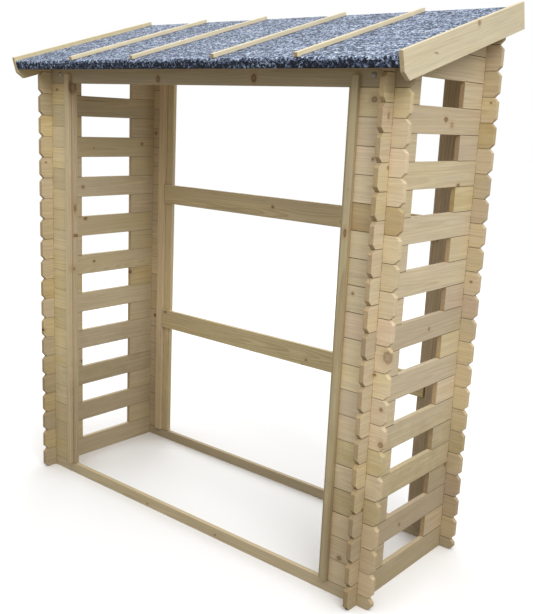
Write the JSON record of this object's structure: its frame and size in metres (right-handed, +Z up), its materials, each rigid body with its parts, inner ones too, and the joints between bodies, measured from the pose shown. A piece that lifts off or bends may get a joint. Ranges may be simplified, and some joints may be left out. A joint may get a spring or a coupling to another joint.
{
  "type": "log store",
  "caption": "Open-fronted wooden log store with slatted side walls of interlocking boards under a felted lean-to roof.",
  "frame": {"origin": "middle of the footprint's box, on the ground", "axes": "+X to the right seen from the open front, +Y from the front to the back, +Z up"},
  "size_m": [1.966, 0.8218, 2.1292],
  "materials": {
    "wall_timber": "rough sawn and planed spruce",
    "trim_timber": "planed spruce",
    "roof_timber": "planed spruce",
    "roof_felt": "mineral chips on bitumen",
    "zinc_steel": "zinc plated"
  },
  "bodies": {
    "root": {"threshold": "wall_timber", "back_sill": "wall_timber", "left_wall_boards": "wall_timber", "right_wall_boards": "wall_timber", "left_front_blocks": "wall_timber", "left_back_blocks": "wall_timber", "right_front_blocks": "wall_timber", "right_back_blocks": "wall_timber", "left_gable_low": "wall_timber", "left_gable_middle": "wall_timber", "left_gable_top": "wall_timber", "right_gable_low": "wall_timber", "right_gable_middle": "wall_timber", "right_gable_top": "wall_timber", "front_left_stubs_odd": "wall_timber", "front_left_stubs_even": "wall_timber", "front_right_stubs_odd": "wall_timber", "front_right_stubs_even": "wall_timber", "back_left_stubs_odd": "wall_timber", "back_left_stubs_even": "wall_timber", "back_right_stubs_odd": "wall_timber", "back_right_stubs_even": "wall_timber", "header": "wall_timber", "back_header_lower": "wall_timber", "back_header_upper": "wall_timber", "front_left_jamb": "trim_timber", "front_right_jamb": "trim_timber", "back_left_jamb": "trim_timber", "back_right_jamb": "trim_timber", "front_left_strip": "trim_timber", "front_right_strip": "trim_timber", "back_left_strip": "trim_timber", "back_right_strip": "trim_timber", "lower_back_rail": "trim_timber", "upper_back_rail": "trim_timber", "roof_boards": "roof_timber", "eaves_batten": "roof_timber", "roof_battens": "roof_timber", "left_bargeboard": "roof_timber", "right_bargeboard": "roof_timber", "roof_felt": "roof_felt", "header_bolts": "zinc_steel"}
  },
  "joints": []
}
